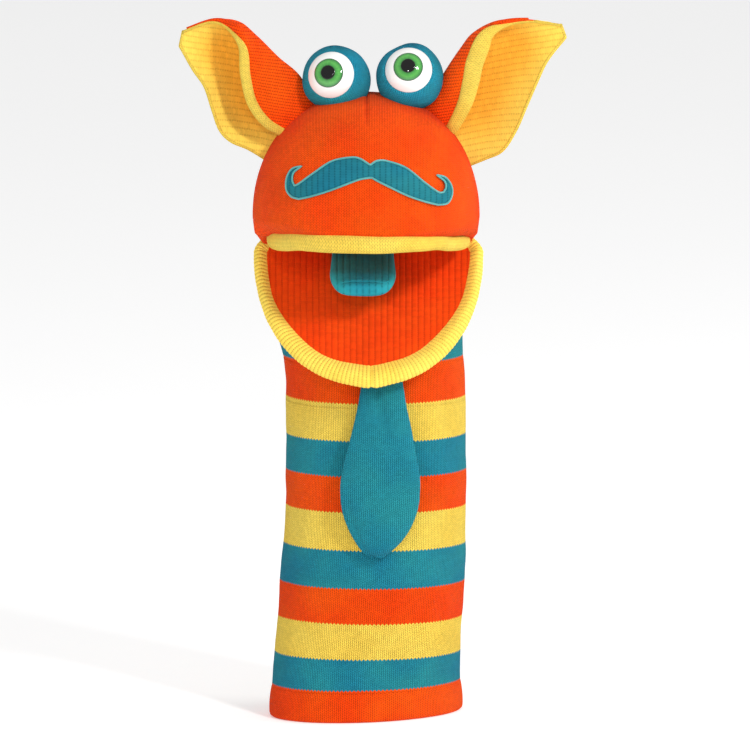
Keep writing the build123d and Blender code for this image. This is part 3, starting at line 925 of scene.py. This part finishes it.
def make_upper_lip():
    """The rolled edge of the upper jaw."""
    path, steps, reach = [], 240, 0.972  # its ends stop just short of the mouth's corners
    for i in range(steps + 1):
        x, along = d_shape(lerp(-reach, reach, i / steps), *UPPER_LIP)
        sag = 1.7 * (along / UPPER_LIP[1]) ** 2 + 0.35 * rumple((x, along, 0.0), 17.0, 4.0)
        sag += 2.2 * smooth(abs(x), 36, 53)
        path.append(mouth_point(UPPER_TILT, x, along, PALATE_GAP - sag + 1.5 * smooth(-x, 0, 50)))

    def section(along, angle):
        from_end = min(min(along, 1 - along) / 0.012, 1.0)
        radius = 4.4 * math.sqrt(1 - 0.6 * (1 - from_end) ** 2)
        return radius * math.cos(angle), radius * (1.02 + 0.38 * smooth(along, 0.75, 0.2)) * math.sin(angle)

    lip = roll("upper_lip_roll", path, section, LIP_KNIT, FINE_WALE, 16.0)
    modified(lip, "SUBSURF", levels=1, render_levels=1)
    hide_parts("upper_lip")
    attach(lip, "head")


def make_lower_lip():
    """The wide ribbed band round the lower jaw: pleated in the middle, with its ends tucked in."""
    count, steps, pitch = 900, 26, 2.45
    tucked, pleat_x, inward = 0.075, 1.8, Vector((0.0, 30.0))
    points = []
    for i in range(count + 1):
        turn = lerp(-1 - tucked, 1 + tucked, i / count)
        if abs(turn) <= 1:
            points.append(Vector(d_shape(turn, *LOWER_LIP_EDGE, LOWER_SHAPE)))
        else:
            over = (abs(turn) - 1) / tucked
            x = math.copysign(LOWER_LIP_EDGE[0] - 6.0 * over**1.8, turn)
            points.append(Vector((x, -10.0 * over)))
    rows, coordinates = [], []
    length = 0.0
    for i, point in enumerate(points):
        x, along = point
        if i:
            length += (point - points[i - 1]).length
        tangent = (points[min(i + 1, count)] - points[max(i - 1, 0)]).normalized()
        normal = Vector((-tangent.y, tangent.x))
        if normal.dot(inward - point) < 0:
            normal = -normal
        in_front = float(along > 40)
        width = lerp(8.0, 11.5, smooth(along, 28, 68)) + 2.6 * peak(x, 30.0) * in_front
        width += 0.9 * smooth(x, -20, 40) * smooth(along, 0, 30)
        pleat = peak(x - pleat_x, math.sqrt(1.6)) * in_front
        point_out = 1.5 * peak(x - pleat_x, math.sqrt(90.0)) * in_front
        rib = -0.15 * math.cos(TAU * length / pitch) + 0.3 * rumple((x, along, 0.0), 9.0, 5.0)
        row = []
        for k in range(steps):
            turn_k = TAU * k / steps
            wide = width / 2 * (1 + math.cos(turn_k))
            thick = (4.3 + rib - 1.6 * pleat) * math.sin(turn_k)
            taper = 1.0 - 0.35 * smooth(wide, width * 0.35, width)
            bulge = rib * 0.8 * max(0.0, -math.cos(turn_k))
            spot = point + normal * (wide - bulge + 0.6 * pleat - point_out)
            row.append(mouth_point(LOWER_TILT, spot.x, spot.y, -PALATE_GAP - 0.9 + thick * taper))
        rows.append(row)
        coordinates.append([(length / pitch, k) for k in range(steps + 1)])
    band = tube("lower_lip_band", rows, coordinates, LIP_RIB)
    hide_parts("lower_lip")
    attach(band, "jaw")


def make_chin():
    """The knit under the lower board: a shallow trough with room for the thumb."""

    def surface(a, b):
        x, along = d_shape(2 * a - 1, LOWER_LIP_EDGE[0] - 3.0, LOWER_LIP_EDGE[1] - 3.0, LOWER_SHAPE)
        inner = math.cos(b * math.pi / 2) ** 0.75
        x, along = x * inner, lerp(6.0, along, inner)
        edge = math.sin(b * math.pi / 2) ** 0.8
        wedge = (LOWER_LIP_EDGE[1] - along) * math.tan(math.radians(CHIN_WEDGE)) + 3.0
        depth = PALATE_GAP + 3.0 + edge * wedge
        return mouth_point(LOWER_TILT, x, along, -depth), (x / WALE, along / COURSE)

    chin = grid("chin", surface, 120, 40, FACE_KNIT)
    thicken(chin, KNIT, 1.0)
    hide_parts("chin_cover")
    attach(chin, "jaw")


# ---------------------------------------------------------------- tongue
def make_tongue():
    """A flat stuffed tongue, ribbed along its length, with a seam across its tip."""
    tilt = (UPPER_TILT + LOWER_TILT) / 2
    length, half, thick, shift, rib = 48.2, 18.8, 5.3, -3.2, 3.6
    corner_r, tip_r = 19.0, 5.0  # how far its corners and the edge of its tip are rounded

    def surface(a, b):
        turn = TAU * a
        along = lerp(-2.0, length, math.sin(b * math.pi / 2) ** 0.9)
        corner = rounded(max(along - length + corner_r, 0) / corner_r, 2.2, 2.3)
        tip = rounded(max(along - length + tip_r, 0) / tip_r, 2.4)
        c, s = math.cos(turn), math.sin(turn)
        wide = half * lerp(0.93, 1.0, smooth(along, 5, 35)) * lerp(0.42, 1, corner)
        x = signed_power(c, 0.66) * wide
        groove = 0.35 * (1 - abs(math.sin(math.pi * x / rib)) ** 0.5) * smooth(s, 0.2, 0.6)
        seam = 0.5 * peak(along - length + 2.4, 0.7) * smooth(s, 0.0, 0.5)
        swell = thick * lerp(0.7, 1.0, smooth(along, -6, 20)) * tip
        up = signed_power(s, 0.7) * (swell - (groove + seam) * tip)
        soft = 0.6 * rumple((x, along, 3 * s), 14.0, 9.0)
        return mouth_point(tilt, x + shift, along, up + soft), (x / rib, along / COURSE)

    tongue = grid("tongue", surface, 120, 80, TONGUE_RIB, closed=True)
    path = []
    for i in range(41):
        x = lerp(-0.55, 0.78, i / 40) * half
        path.append(mouth_point(tilt, x + shift, length - 2.2 - 0.012 * x * x, thick * 0.66))
    seam = roll("tongue_seam", path, oval(0.45, 0.4), TONGUE_RIB, 1.6, 3.0)
    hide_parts("tongue_cover", "tongue_stuffing")
    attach(tongue, "tongue")
    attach(seam, "tongue")


# ---------------------------------------------------------------- moustache
# (x, z) of the moustache's halves, x away from the middle: from its notch along the top to the curl's
# tip, back round the curl, and along the bottom.
MOUSTACHE = {
    "right": (
        [(1.2, 329.4), (5.0, 331.4), (10.5, 331.0), (20.8, 327.0), (31.5, 318.1), (38.5, 312.6),
         (41.5, 312.0)],
        [(41.5, 312.0), (42.8, 314.6), (41.9, 317.9), (37.6, 321.8)],
        [(37.6, 321.8), (42.6, 319.6), (45.9, 314.6), (46.1, 309.5), (43.6, 305.8), (38.6, 305.6)],
        [(38.6, 305.6), (31.8, 308.0), (22.0, 312.0), (12.0, 317.1), (4.6, 320.9), (1.9, 322.5)],
    ),
    "left": (
        [(-0.6, 329.4), (5.0, 332.6), (10.5, 333.0), (20.8, 330.4), (31.5, 322.9), (38.5, 317.3),
         (40.9, 315.9)],
        [(40.9, 315.9), (42.1, 318.9), (41.2, 322.9), (36.8, 326.8)],
        [(36.8, 326.8), (42.2, 324.6), (45.2, 319.4), (45.4, 313.4), (42.8, 310.0), (38.6, 309.1)],
        [(38.6, 309.1), (31.8, 311.2), (22.0, 314.8), (12.0, 318.9), (4.6, 321.6), (-1.2, 322.5)],
    ),
}  # fmt: skip


def moustache_outline():
    """The whole outline in (x, z), one half after the other, with a point about every 0.7 mm."""
    halves = {}
    for side, stretches in MOUSTACHE.items():
        halves[side] = []
        for stretch in stretches:
            length = sum(math.dist(p, q) for p, q in zip(stretch, stretch[1:]))
            count = max(int(length / 0.7), 4)
            halves[side] += [curve_at(stretch, i / count) for i in range(count)]
    return halves["right"] + [(-x, z) for x, z in reversed(halves["left"])]


def on_face(x, z, out):
    """The point of the face straight in front of (x, z)."""
    rx, ry, middle = ring(z)
    share = max(1 - ((x - lean(z)) / rx) ** 2, 0.02)
    point = Vector((x, middle - ry * share**0.5, z))
    normal = Vector((x / rx**2, (point.y - middle) / ry**2, (z - EQUATOR) / HEAD_RZ**2)).normalized()
    return point + normal * out


FACE_BULGE = 1.3


def make_moustache():
    """Knitted appliqué with a satin-stitched edge."""
    outline = moustache_outline()
    rim = [Vector(spot) for spot in outline]

    def from_rim(spot):
        return min((spot - p).length for p in rim)

    pitch, inner = 1.5, []
    (low_x, high_x), (low_z, high_z) = ((min(line), max(line)) for line in zip(*outline))
    for i in range(int((high_x - low_x) / pitch)):
        for j in range(int((high_z - low_z) / pitch)):
            spot = Vector((low_x + (i + 0.5 * (j % 2)) * pitch, low_z + j * pitch))
            if from_rim(spot) > 0.9:
                inner.append(spot)
    whole = [list(range(len(rim)))]
    spots, _, faces, *_ = geometry.delaunay_2d_cdt(rim + inner, [], whole, 1, 1e-4)
    points, stitches = [], []
    for spot in spots:
        edge = from_rim(spot)
        points.append(tuple(on_face(spot.x, spot.y, FACE_BULGE + 0.9 * smooth(edge, 0.0, 2.2))))
        stitches.append((spot.x / 3.1, spot.y / COURSE))
    faces = [list(face) for face in faces]
    uvs = [stitches[v] for face in faces for v in face]
    moustache = mesh_piece("moustache_knit", points, faces, uvs, TEAL_RIB)
    if moustache.data.polygons[0].normal.y > 0:
        moustache.data.flip_normals()
    path = [tuple(on_face(x, z, FACE_BULGE + 0.35)) for x, z in outline]
    normals = [tuple(on_face(x, z, 1.0) - on_face(x, z, 0.0)) for x, z in outline]
    edging = roll("moustache_edging", path, oval(0.55, 0.5), SATIN, 0.6, 1.0, up=normals, closed=True)
    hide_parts("moustache")
    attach(moustache, "head")
    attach(edging, "head")


# ---------------------------------------------------------------- eyes
EYES = {
    "left": {"centre": (-18.0, -25.0, 369.8), "aside": 14.5, "up": 19.5},
    "right": {"centre": (23.4, -25.0, 370.8), "aside": 3.0, "up": 27.5},
}
BALL_R = 19.2
EYE_FLAT = 14.2
DOME_R, IRIS_R, PUPIL_R = 13.1, 8.4, 4.25


def eye_axes(eye):
    """Centre, the way that the eye looks, and directions to its right and up."""
    aside, up = math.radians(eye["aside"]), math.radians(eye["up"])
    looks = Vector((-math.sin(aside) * math.cos(up), -math.cos(aside) * math.cos(up), math.sin(up)))
    across = Vector((math.cos(aside), -math.sin(aside), 0.0))
    return Vector(eye["centre"]), looks, across, looks.cross(across) * -1


def turned(name, eye, profile, rings, around, material):
    """A solid of revolution about an eye's look. profile(share) gives (radius, height)."""
    centre, looks, across, above = eye_axes(eye)

    def surface(a, b):
        radius, height = profile(b)
        spot = centre + looks * height
        spot += (across * math.cos(TAU * a) + above * math.sin(TAU * a)) * radius
        return tuple(spot), (a * 60, b)

    return grid(name, surface, around, rings, material, closed=True, flip=True)


def make_eye(side):
    """A stuffed knitted ball, and the glossy plastic eye that is locked into its front."""
    eye = EYES[side]
    centre, looks, _, _ = eye_axes(eye)
    slant = math.radians(16.0) * SIDES[side]

    def ball_surface(a, b):
        angle, rise = TAU * (a - 0.5), math.pi * (b - 0.5)
        level = Vector((math.sin(angle), -math.cos(angle), 0.0)) * math.cos(rise)
        direction = level + Vector((0.0, 0.0, math.sin(rise)))
        facing = direction.dot(looks)
        radius = BALL_R + 1.1 * rumple(direction * 20, 15.0, SIDES[side] * 2.0)
        flat = EYE_FLAT - 1.2
        if facing * radius > flat:
            radius = lerp(radius, flat / facing, 0.92)
        spot = centre + direction * radius
        u, v = angle * BALL_R, rise * BALL_R
        wale = (u * math.cos(slant) + v * math.sin(slant)) / 2.2
        return tuple(spot), (wale, (v * math.cos(slant) - u * math.sin(slant)) / COURSE)

    ball = grid(f"eye_ball_knit_{side}", ball_surface, 96, 60, EYE_KNIT, closed=True)
    rim, sphere = 1.6, 15.2  # the height of the dome's straight rim, and the radius of its curve
    base = EYE_FLAT - rim
    middle = base + rim - math.sqrt(sphere**2 - DOME_R**2)

    def dome_profile(share):
        """Down the dome from its top, round its rim and in along its flat back."""
        if share < 0.75:
            radius = DOME_R * (share / 0.75) ** 0.8
            return radius, middle + math.sqrt(sphere**2 - radius**2)
        if share < 0.9:
            turn = (share - 0.75) / 0.15
            return DOME_R + 0.25 * math.sin(math.pi * turn), base + rim * (1 - turn)
        return DOME_R * (1 - (share - 0.9) / 0.1), base

    dome = turned(f"eye_white_{side}", eye, dome_profile, 40, 72, WHITE)
    raised = 0.12

    def cap(r0, r1, lift):
        """A printed ring on the dome, from radius r0 to r1, that sinks into it at its edge."""

        def profile(share):
            radius = lerp(r0, r1, share)
            fade = smooth(radius, r1, r1 - 0.5)
            return radius, middle + math.sqrt(sphere**2 - radius**2) + lift * fade

        return profile

    iris = turned(f"eye_iris_ring_{side}", eye, cap(PUPIL_R - 0.3, IRIS_R, raised), 16, 96, IRIS)
    pupil = turned(f"eye_pupil_disc_{side}", eye, cap(0.0, PUPIL_R, 2 * raised), 12, 72, BLACK)
    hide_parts(f"eye_ball_{side}", f"eye_stuffing_{side}")
    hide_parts(f"eye_dome_{side}")
    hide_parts(f"eye_iris_{side}")
    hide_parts(f"eye_pupil_{side}")
    for piece, slot in ((ball, "teal_knit"), (dome, "eye_white"), (iris, "eye_green"), (pupil, "eye_black")):
        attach(piece, "head")


# ---------------------------------------------------------------- ears
# (x, z) of the ears' lines from root to tip, x away from the middle: the outer edge, the silhouette
# where the inner flap folds forwards, and the flap's own rolled edge.
EARS = {
    "right": {
        "outer": [(56.0, 319.5), (66.6, 324.3), (76.0, 329.4), (83.6, 341.2), (89.3, 354.5), (95.0, 367.7),
                  (101.2, 380.4), (111.6, 393.4)],
        "fold": [(27.5, 345.0), (31.2, 353.5), (43.4, 374.0), (52.6, 387.9), (59.8, 396.6), (73.1, 403.0),
                 (90.0, 403.4), (109.0, 400.6)],
        "flap": [(40.0, 339.0), (45.1, 343.0), (51.5, 357.0), (54.5, 369.4), (57.5, 383.2), (66.0, 397.6),
                 (88.0, 402.6), (109.2, 400.4)],
        "band": (2.6, 4.3), "hem": 52,
    },
    "left": {
        "outer": [(54.0, 320.5), (67.5, 329.5), (78.0, 334.6), (84.2, 341.2), (88.2, 352.4), (92.7, 366.0),
                  (99.5, 375.7), (106.8, 388.5)],
        "fold": [(26.0, 348.0), (30.4, 356.0), (39.3, 371.5), (51.0, 382.0), (63.0, 394.0), (73.5, 402.6),
                 (87.0, 403.2), (105.0, 396.8)],
        "flap": [(39.0, 335.0), (44.5, 338.7), (56.0, 346.5), (64.0, 358.0), (67.6, 373.0), (70.5, 391.0),
                 (86.0, 402.2), (105.2, 396.6)],
        "band": (1.9, 2.2), "hem": 59,
    },
}  # fmt: skip
EAR_Y = -22.0
EAR_ROOT, EAR_FREE = (45, 338), (58, 356)  # EAR_ROOT, EAR_FREE = (45, 338), (58, 356) # two (x, z) at the ear's root, where its knit bends; nothing below makes use of them


def ear_point(ear, side, a, b):
    """A point of the ear's middle surface: a from the outer edge over the fold to the flap's edge."""
    outer, fold, flap = (curve_at(ear[line], b) for line in ("outer", "fold", "flap"))
    depth = smooth(b, -0.05, 0.35) * (1 - 0.9 * smooth(b, 0.68, 1.0))
    folded = smooth(math.dist(fold, flap), 0.5, 12.0)
    section = [
        (outer, -6.0 * depth),
        (mix(outer, fold, 0.22), 4.5 * depth),
        (mix(outer, fold, 0.55), 9.0 * depth),
        (mix(outer, fold, 0.86), 5.0 * depth),
        (mix(fold, outer, 0.01), -2.5 * depth),
        (mix(fold, flap, 0.45), lerp(-2.5, -10.5, folded) * depth),
        (flap, lerp(-2.5, -11.5, folded) * depth),
    ]
    x, y, z = curve_at([(spot[0], y, spot[1]) for spot, y in section], a)
    wave = 0.7 * rumple((x, y, z), 22.0, 6.0 + SIDES[side]) * smooth(b, 0.1, 0.4)
    return Vector((SIDES[side] * x, EAR_Y + y + wave, z))


def make_ear(side):
    """A cupped ear whose inner half is folded forwards: plain outside, ribbed inside, rolled edge."""
    ear = EARS[side]
    across, up = 72, 110

    def normal_at(a, b):
        e = 0.01
        along = ear_point(ear, side, a, min(b + e, 1)) - ear_point(ear, side, a, max(b - e, 0))
        over = ear_point(ear, side, min(a + e, 1), b) - ear_point(ear, side, max(a - e, 0), b)
        normal = over.cross(along) * SIDES[side]
        return normal.normalized() if normal.length > 1e-6 else Vector((0, 1, 0))

    def layer(out):
        def surface(a, b):
            point = ear_point(ear, side, a, b) + normal_at(a, b) * out
            x = abs(point.x)
            return tuple(point), ((point.z - 0.2 * x) / 3.4, x / COURSE)

        return surface

    flip = side == "left"
    back = grid(f"ear_outside_{side}", layer(0.8), across, up, FACE_KNIT, flip=not flip)
    lining = grid(f"ear_inside_{side}", layer(-0.8), across, up, EAR_RIB, flip=flip)
    low, high = ear["band"]
    band_steps, band_path, widths = 80, [], []
    for i in range(band_steps + 1):
        b = i / band_steps
        width = lerp(low, high, smooth(b, 0.0, 0.55)) * (1 - smooth(b, 0.62, 0.84)) + 0.8
        point = ear_point(ear, side, 1.0, b)
        aside = Vector((SIDES[side], 0.0, 0.0)) * (width * 0.7)
        band_path.append(tuple(point + aside + Vector((0, -0.6, 0))))
        widths.append(width)

    def band_section(along, angle):
        width = widths[round(along * band_steps)]
        return width * math.cos(angle), min(width * 0.8, 2.3) * math.sin(angle)

    band = roll(f"ear_band_{side}", band_path, band_section, LIP_KNIT, COURSE, 10.0, up=(0, -1, 0))
    edge = [tuple(ear_point(ear, side, 0.0, i / 60)) for i in range(61)]
    edge += [tuple(ear_point(ear, side, i / 24, 1.0)) for i in range(1, 25)]
    rim = roll(f"ear_edge_{side}", edge, oval(0.95, 0.95), LIP_KNIT, COURSE, 4.0, up=(0, -1, 0))
    above = Vector((0, 0.4, 0.5))
    top = [tuple(ear_point(ear, side, 0.78, i / 60) + above) for i in range(42, ear["hem"] + 1)]
    hem = roll(f"ear_top_{side}", top, oval(1.2, 1.2), FACE_KNIT, WALE, 4.0, up=(0, -1, 0))
    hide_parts(f"ear_back_{side}")
    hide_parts(f"ear_lining_{side}")
    root, free = ((SIDES[side] * x * MM, EAR_Y * MM, z * MM) for x, z in (EAR_ROOT, EAR_FREE))
    parts = ((back, "orange_knit"), (lining, "yellow_rib"), (band, "yellow_rib"), (rim, "yellow_rib"))
    for piece, slot in (*parts, (hem, "orange_knit")):
        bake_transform(piece)
        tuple(root)
        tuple(free)


# ---------------------------------------------------------------- tie
TIE_LEFT = [(-1.5, 201.5), (-3.8, 194.8), (-6.0, 182.4), (-9.4, 167.5), (-13.3, 152.5), (-15.6, 140.0),
            (-15.2, 127.0), (-12.8, 117.4), (-8.2, 107.6), (-2.6, 99.8), (3.6, 96.9)]  # fmt: skip
TIE_RIGHT = [(18.6, 201.5), (19.9, 195.0), (21.6, 184.0), (24.4, 171.0), (26.9, 156.5), (29.2, 143.9),
             (29.3, 134.0), (28.1, 124.3), (24.0, 113.5), (17.8, 104.6), (9.2, 97.0)]  # fmt: skip
TIE_BACK = box_mm("tie_cover")[1][1]


def tie_sewn(b):
    """How far back the top of the tie is drawn by the stitches that hold it to the neck."""
    return 2.6 * (1 - smooth(b, 0.0, 0.16))


def make_tie():
    """A softly stuffed knitted leaf that hangs in front of the sleeve."""

    def surface(a, b):
        turn = TAU * a
        left, right = curve_at(TIE_LEFT, b), curve_at(TIE_RIGHT, b)
        c, s = math.cos(turn), math.sin(turn)
        share = 0.5 - 0.5 * signed_power(c, 0.9)
        x, z = mix(left, right, share)
        full = (1 - (2 * share - 1) ** 2) ** 0.62
        thick = lerp(2.6, 5.4, smooth(b, 0.0, 0.5)) * (1 - smooth(b, 0.9, 1.0) * 0.55)
        crease = 2.4 * peak(share - 0.30 - 0.9 * b, 0.10) * (1 - smooth(b, 0.12, 0.5))
        crease += 0.7 * peak(share - 0.09, 0.035) * smooth(b, 0.25, 0.5)
        depth = thick * full - crease
        soft = 0.8 * rumple((x, 0.0, z), 19.0, 11.0) + 0.3 * rumple((x, 0.0, z), 7.0, 12.0)
        y = TIE_BACK - 4.4 - (depth + soft if s > 0 else -min(depth, 3.6)) + tie_sewn(b)
        middle = (left[0] + right[0]) / 2
        return (x, y, z), ((x - middle) / 2.3, z / COURSE)

    tie = grid("tie_knit", surface, 96, 110, TEAL_KNIT, closed=True, flip=True)
    path = []
    for i in range(90):
        b = 0.04 + 0.94 * i / 89
        x, z = curve_at(TIE_LEFT, b)
        path.append((x + 0.35, TIE_BACK - 4.6 + tie_sewn(b), z))
    seam = roll("tie_seam", path, oval(0.75, 0.9), TEAL_KNIT, WALE, 3.0, up=(0, -1, 0))
    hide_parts("tie_cover", "tie_wadding")
    for piece in (tie, seam):
        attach(piece, "tie")


# ---------------------------------------------------------------- inner pieces that stay as they are
def finish_inner_pieces():
    """Materials for the CAD pieces that are hidden inside."""
    plan = {"upper_board": BOARD, "lower_board": BOARD, "finger_pocket": POCKET}
    plan |= {f"eye_washer_{side}": WASHER for side in SIDES}
    for node, material in plan.items():
        mesh = frame["nodes"][node].data
        mesh.materials.clear()
        mesh.materials.append(material)


make_camera()
make_stage()
make_sleeve()
make_face()
make_back()
make_throat()
make_palates()
make_upper_lip()
make_lower_lip()
make_chin()
make_tongue()
make_moustache()
for side in SIDES:
    make_eye(side)
    make_ear(side)
make_tie()
finish_inner_pieces()
